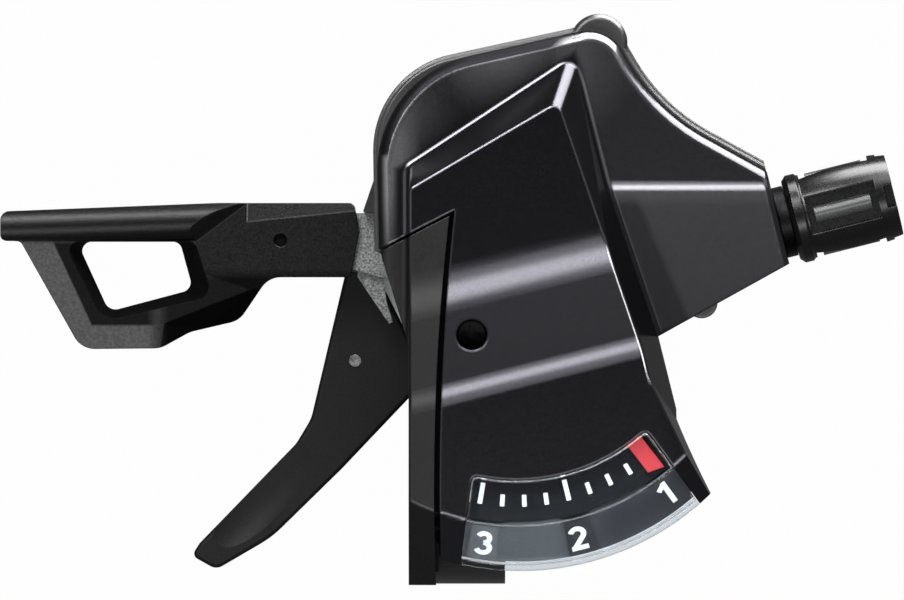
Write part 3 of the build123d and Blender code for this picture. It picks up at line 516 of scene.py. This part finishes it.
def arc(x, y, width, height, start, end):
    """Points along part of an ellipse, angles in degrees."""
    points = []
    for i in range(ARC_STEPS + 1):
        a = math.radians(start + (end - start) * i / ARC_STEPS)
        points.append((x + width * math.cos(a), y + height * math.sin(a)))
    return points


def ribbon(builder, points, place):
    """Flat stroke of even width along a row of points, with a little thickness."""
    rows = []
    for i, point in enumerate(points):
        before = Vector(points[max(i - 1, 0)])
        after = Vector(points[min(i + 1, len(points) - 1)])
        along = (after - before).normalized()
        side = Vector((-along.y, along.x)) * STROKE_HALF
        row = []
        for lift in (0.0, STROKE_THICK):
            row.append(builder.verts.new(place(Vector(point) + side, lift)))
            row.append(builder.verts.new(place(Vector(point) - side, lift)))
        rows.append(row)
    for one, two in zip(rows, rows[1:]):
        builder.faces.new((one[2], one[3], two[3], two[2]))
        builder.faces.new((one[1], one[0], two[0], two[1]))
        builder.faces.new((one[0], one[2], two[2], two[0]))
        builder.faces.new((one[3], one[1], two[1], two[3]))
    first, last = rows[0], rows[-1]
    builder.faces.new((first[0], first[1], first[3], first[2]))
    builder.faces.new((last[1], last[0], last[2], last[3]))


def on_tab(radius, angle):
    """Gives the function that lays a figure's points on the tab at a place of the dial."""
    a = math.radians(angle)
    out = Vector((math.sin(a), -math.cos(a), 0.0))
    normal = (out * DIAL_FALL + UP).normalized()
    up = (-out + UP * DIAL_FALL).normalized()
    right = up.cross(normal)
    middle = dial_point(radius, angle, TAB_RISE)

    def place(point, lift):
        x = (point.x - FIGURE_MIDDLE[0]) * FIGURE_HEIGHT
        y = (point.y - FIGURE_MIDDLE[1]) * FIGURE_HEIGHT
        return middle + (right * x + up * y + normal * (lift + STROKE_LIFT)) * MM

    return place


FIGURES = {
    "1": [[(0.14, 0.73), (0.43, 0.91)], [(0.43, 0.0), (0.43, 1.0)]],
    "2": [arc(0.33, 0.69, 0.23, 0.22, 165, -35) + [(0.13, 0.09)], [(0.03, 0.09), (0.64, 0.09)]],
    "3": [arc(0.31, 0.715, 0.20, 0.195, 160, -90), arc(0.31, 0.305, 0.235, 0.215, 90, -160)],
}

white = print_material()
ticks = bmesh.new()
for i in range(TICK_COUNT):
    angle = TICK_FIRST + i * GEAR_STEP / TICKS_PER_STEP
    inner, half = SHORT_TICK if i % TICKS_PER_STEP else LONG_TICK
    corners = []
    for radius, side in ((inner, -1), (TICK_OUTER, -1), (TICK_OUTER, 1), (inner, 1)):
        corners.append((radius, angle + math.degrees(half / radius) * side))
    low = [ticks.verts.new(dial_point(r, a)) for r, a in corners]
    high = [ticks.verts.new(dial_point(r, a, TICK_THICK)) for r, a in corners]
    ticks.faces.new(high)
    ticks.faces.new(low[::-1])
    for k in range(4):
        ticks.faces.new((low[k], low[(k + 1) % 4], high[(k + 1) % 4], high[k]))
add_print("dial_ticks", ticks)

for figure, radius, angle in FIGURE_PLACES:
    strokes = bmesh.new()
    for points in FIGURES[figure]:
        ribbon(strokes, points, on_tab(radius, angle))
    add_print("figure_" + figure, strokes)


# Faces with a look of their own: painted shade in hollows, the knob's ribs, and the dial's rim and tabs in
# painted light and shade

# Side cover: its top, the middle and half length of its curved inner edge, and where its lip ends
STRIP_TOP = 20.4
STRIP_MIDDLE = 9.0
STRIP_HALF = 25.0
STRIP_EDGE = -2.05
LIP_WIDTH = 0.75
LIP_REAR = -13.0
LIP_LEFT = -10.5
# Trigger: the hole's middle, radius and top, and the box of the finger window with its sloped walls
HOLE_MIDDLE = (-22.8, 30.3)
HOLE_RADIUS = 0.9
HOLE_TOP = -5.5
WINDOW_X = (-51.0, -31.0)
WINDOW_Y = (19.0, 30.4)
# Knob: half the length and width of a rib, and the radius at its foot
RIB_HALF_LENGTH = 3.75
RIB_HALF_WIDTH = 0.93
RIB_FOOT = 4.6
# Dial: inner radius of the rim, the tabs' least height over it, and the least upward normal of both
RIM_RADIUS = 30.2
TAB_FOOT = 0.2
RIM_UPWARD = 0.7


def paint_faces(node, material, chosen):
    """Gives one more material to the chosen faces of a node."""
    data = nodes[node].data
    data.materials.append(material)
    index = len(data.materials) - 1
    for face in data.polygons:
        if chosen(face.center / MM, face.normal):
            face.material_index = index


def in_groove(point, normal):
    """Lip of the side cover seen at the bottom of the groove, painted black as painted shade."""
    bulge = (point.y - STRIP_MIDDLE) / STRIP_HALF
    edge = STRIP_EDGE + 0.95 * bulge * bulge + 0.8 * max(bulge, 0.0) - LIP_WIDTH
    slant = 33.2 + (point.x + 1.0) * 0.516
    on_lip = point.x > edge or point.y > slant
    return on_lip and point.z < STRIP_TOP and point.y > LIP_REAR and point.x > LIP_LEFT


def in_funnel(point, normal):
    """Walls round the trigger's finger window, painted black as painted shade."""
    inside = WINDOW_X[0] < point.x < WINDOW_X[1] and WINDOW_Y[0] < point.y < WINDOW_Y[1]
    return inside and normal.z < 0.9


def in_trigger_hole(point, normal):
    """Small round hole in the trigger, its floor painted black as painted shade."""
    away = math.hypot(point.x - HOLE_MIDDLE[0], point.y - HOLE_MIDDLE[1])
    return away < HOLE_RADIUS and point.z < HOLE_TOP


def on_rib(point, normal):
    """Raised rib in each of the knob's four grip pockets."""
    from_point = point - CABLE_POINT
    along = from_point.dot(ALONG)
    spoke = from_point - ALONG * along
    offset = min(abs(spoke.z), abs(ALONG.cross(UP).dot(spoke)))
    in_pocket = abs(along - knob_middle) < RIB_HALF_LENGTH and offset < RIB_HALF_WIDTH
    return in_pocket and spoke.length > RIB_FOOT


def above_rim(point):
    """Height over the dial's falling face, with the distance from the dial's middle."""
    radius = math.hypot(point.x - DIAL.x, point.y - DIAL.y)
    return point.z - dial_height(radius), radius


def on_rim(point, normal):
    """Falling rim of the dial between the tabs."""
    height, radius = above_rim(point)
    return radius > RIM_RADIUS and normal.z > RIM_UPWARD and height < TAB_FOOT


def on_tabs(point, normal):
    """Raised tabs that carry the figures."""
    height, radius = above_rim(point)
    return radius > RIM_RADIUS and normal.z > RIM_UPWARD and height >= TAB_FOOT


knob_reach = [(v.co / MM - CABLE_POINT).dot(ALONG) for v in nodes["adjuster_knob"].data.vertices]
knob_middle = (min(knob_reach) + max(knob_reach)) / 2
# Painted light and shade: the dial's rim and tabs are lighter on the left and darker to the right
dial_rim = rim_material(
    "dial_rim", (12.0, 20.0), ((0.052, 0.055, 0.058), (0.068, 0.072, 0.075)),
    ((0.011, 0.012, 0.015), (0.016, 0.017, 0.021)))
dial_tabs = rim_material(
    "dial_tabs", (7.0, 14.0), ((0.072, 0.075, 0.077), (0.096, 0.099, 0.101)),
    ((0.010, 0.010, 0.012), (0.015, 0.015, 0.018)))
paint_faces("adjuster_knob", materials["rib_grey"], on_rib)
# Painted shade: black on the groove's lip, the trigger's hole and the walls round its finger window
paint_faces("side_cover", materials["painted_shade_black"], in_groove)
paint_faces("release_lever_cap", materials["painted_shade_black"], in_trigger_hole)
paint_faces("release_lever_cap", materials["painted_shade_black"], in_funnel)
paint_faces("dial_plate", dial_rim, on_rim)
paint_faces("dial_plate", dial_tabs, on_tabs)


# Floor and surroundings

FLOOR_GAP = 0.012
FLOOR_SIZE = 6.0
DOME_EDGE = math.cos(math.radians(20.0))
DOME_DARK = math.cos(math.radians(3.0))
DOME_LEVEL = 0.17
ZENITH_LEVEL = 0.01


def white_stage(name, bright, mirror, glass):
    """Pale surface that reads as white behind the object and still takes its shadow."""
    m = Nodes(name)
    paint = m.new("BsdfDiffuse")
    paint.inputs["Color"].default_value = (*grey(0.10), 1.0)
    glow = m.new("Emission")
    glow.inputs["Color"].default_value = (*grey(1.0), 1.0)
    glow.inputs["Strength"].default_value = 1.0
    rays = m.new("LightPath")
    mirrored = m.times(rays.outputs["Is Glossy Ray"], mirror)
    through = m.times(rays.outputs["Is Transmission Ray"], glass)
    seen = m.math("MAXIMUM", rays.outputs["Is Camera Ray"], m.math("MAXIMUM", mirrored, through))
    m.mixed_shader(m.times(seen, bright), paint, glow)
    return m.material


bpy.ops.mesh.primitive_plane_add(size=FLOOR_SIZE, location=(0.0, 0.0, cad_low.z - FLOOR_GAP))
floor = bpy.context.object
floor.name = "floor"
floor.data.materials.append(white_stage("floor_white", 0.985, 0.10, 0.75))
floor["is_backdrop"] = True

# White for the camera; for the object a dim dome that is darkest straight above
world = bpy.data.worlds.new("studio")
scene.world = world
world.use_nodes = True
tree = world.node_tree
tree.nodes.clear()
sky = tree.nodes.new("ShaderNodeBackground")
sky.inputs["Color"].default_value = (*grey(1.0), 1.0)
room = tree.nodes.new("ShaderNodeBackground")
room.inputs["Color"].default_value = (0.96, 0.97, 1.0, 1.0)
coords = tree.nodes.new("ShaderNodeTexCoord")
split = tree.nodes.new("ShaderNodeSeparateXYZ")
tree.links.new(coords.outputs["Generated"], split.inputs[0])
dome = tree.nodes.new("ShaderNodeMapRange")
dome.interpolation_type = "SMOOTHSTEP"
tree.links.new(split.outputs["Z"], dome.inputs["Value"])
dome.inputs["From Min"].default_value = DOME_EDGE
dome.inputs["From Max"].default_value = DOME_DARK
dome.inputs["To Min"].default_value = DOME_LEVEL
dome.inputs["To Max"].default_value = ZENITH_LEVEL
tree.links.new(dome.outputs["Result"], room.inputs["Strength"])
rays = tree.nodes.new("ShaderNodeLightPath")
mix = tree.nodes.new("ShaderNodeMixShader")
out = tree.nodes.new("ShaderNodeOutputWorld")
tree.links.new(rays.outputs["Is Camera Ray"], mix.inputs[0])
tree.links.new(room.outputs[0], mix.inputs[1])
tree.links.new(sky.outputs[0], mix.inputs[2])
tree.links.new(mix.outputs[0], out.inputs["Surface"])


# Lights, each given by its direction, distance, width, height and radiance

TARGET = Vector((0.004, 0.028, 0.012))
TRIGGER_TARGET = Vector((-0.038, 0.034, 0.0))
BOX_DISTANCE = 1.1


def area_light(name, back, distance, width, height, radiance, target=TARGET):
    """Rectangular light that faces the target from the given direction."""
    light = bpy.data.lights.new(name, "AREA")
    light.shape = "RECTANGLE"
    light.size = width
    light.size_y = height
    light.energy = radiance * math.pi * width * height
    lamp = bpy.data.objects.new(name, light)
    scene.collection.objects.link(lamp)
    lamp.location = target + back * distance
    lamp.rotation_mode = "QUATERNION"
    lamp.rotation_quaternion = (-back).to_track_quat("-Z", "Y")
    return lamp


def softbox(name, tilt_x, tilt_y, width, height, radiance):
    """Light above the object; the tilts are degrees from straight above."""
    back = Vector((math.tan(math.radians(tilt_x)), math.tan(math.radians(tilt_y)), 1.0)).normalized()
    return area_light(name, back, BOX_DISTANCE, width, height, radiance)


def low_card(name, azimuth, elevation, distance, width, height, radiance, target=TARGET):
    """Card of light seen only in reflections; the azimuth is counted from +X."""
    a = math.radians(azimuth)
    e = math.radians(elevation)
    back = Vector((math.cos(a) * math.cos(e), math.sin(a) * math.cos(e), math.sin(e)))
    card = area_light(name, back, distance, width, height, radiance, target)
    card.visible_camera = False
    card.visible_diffuse = False


softbox("strip_rear", 0.0, -19.5, 1.2, 0.20, 9.5)
for name, tilt, height, radiance in (
    ("strip_soft", -10.5, 0.15, 2.2),
    ("strip_tail", -26.6, 0.06, 3.3),
    ("strip_low", -33.0, 0.18, 0.15),
):
    softbox(name, 0.0, tilt, 1.2, height, radiance).visible_diffuse = False
softbox("box_front", 0.0, 44.0, 1.3, 0.22, 2.5)
softbox("box_left", -52.0, 10.0, 0.5, 0.9, 1.3)
softbox("box_right", 52.0, 10.0, 0.5, 0.9, 1.1)
low_card("card_front", 66.0, 0.0, 0.18, 0.17, 0.09, 26.0)
low_card("box_arm", 60.0, 24.0, 0.60, 0.56, 0.42, 8.0)
low_card("strip_riser", 120.0, 48.0, 0.60, 0.24, 0.30, 15.0)
low_card("card_bar", 90.0, 46.0, 0.15, 0.11, 0.035, 22.0, TRIGGER_TARGET)


# Camera that looks straight down on the plan

CAMERA_DISTANCE = 2.2
CAMERA_PLAN = (-0.64, 22.56)
SENSOR_WIDTH = 36.0
PHOTO_WIDTH = 904
PIXELS_PER_MM = 7.8

camera = bpy.data.cameras.new("camera")
camera.sensor_width = SENSOR_WIDTH
camera.lens = SENSOR_WIDTH * CAMERA_DISTANCE / (PHOTO_WIDTH / PIXELS_PER_MM * MM)
camera.clip_start = 0.1
camera.clip_end = 20.0
viewer = bpy.data.objects.new("camera", camera)
scene.collection.objects.link(viewer)
viewer.location = (CAMERA_PLAN[0] * MM, CAMERA_PLAN[1] * MM, CAMERA_DISTANCE + TARGET.z)
scene.camera = viewer

low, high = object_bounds()
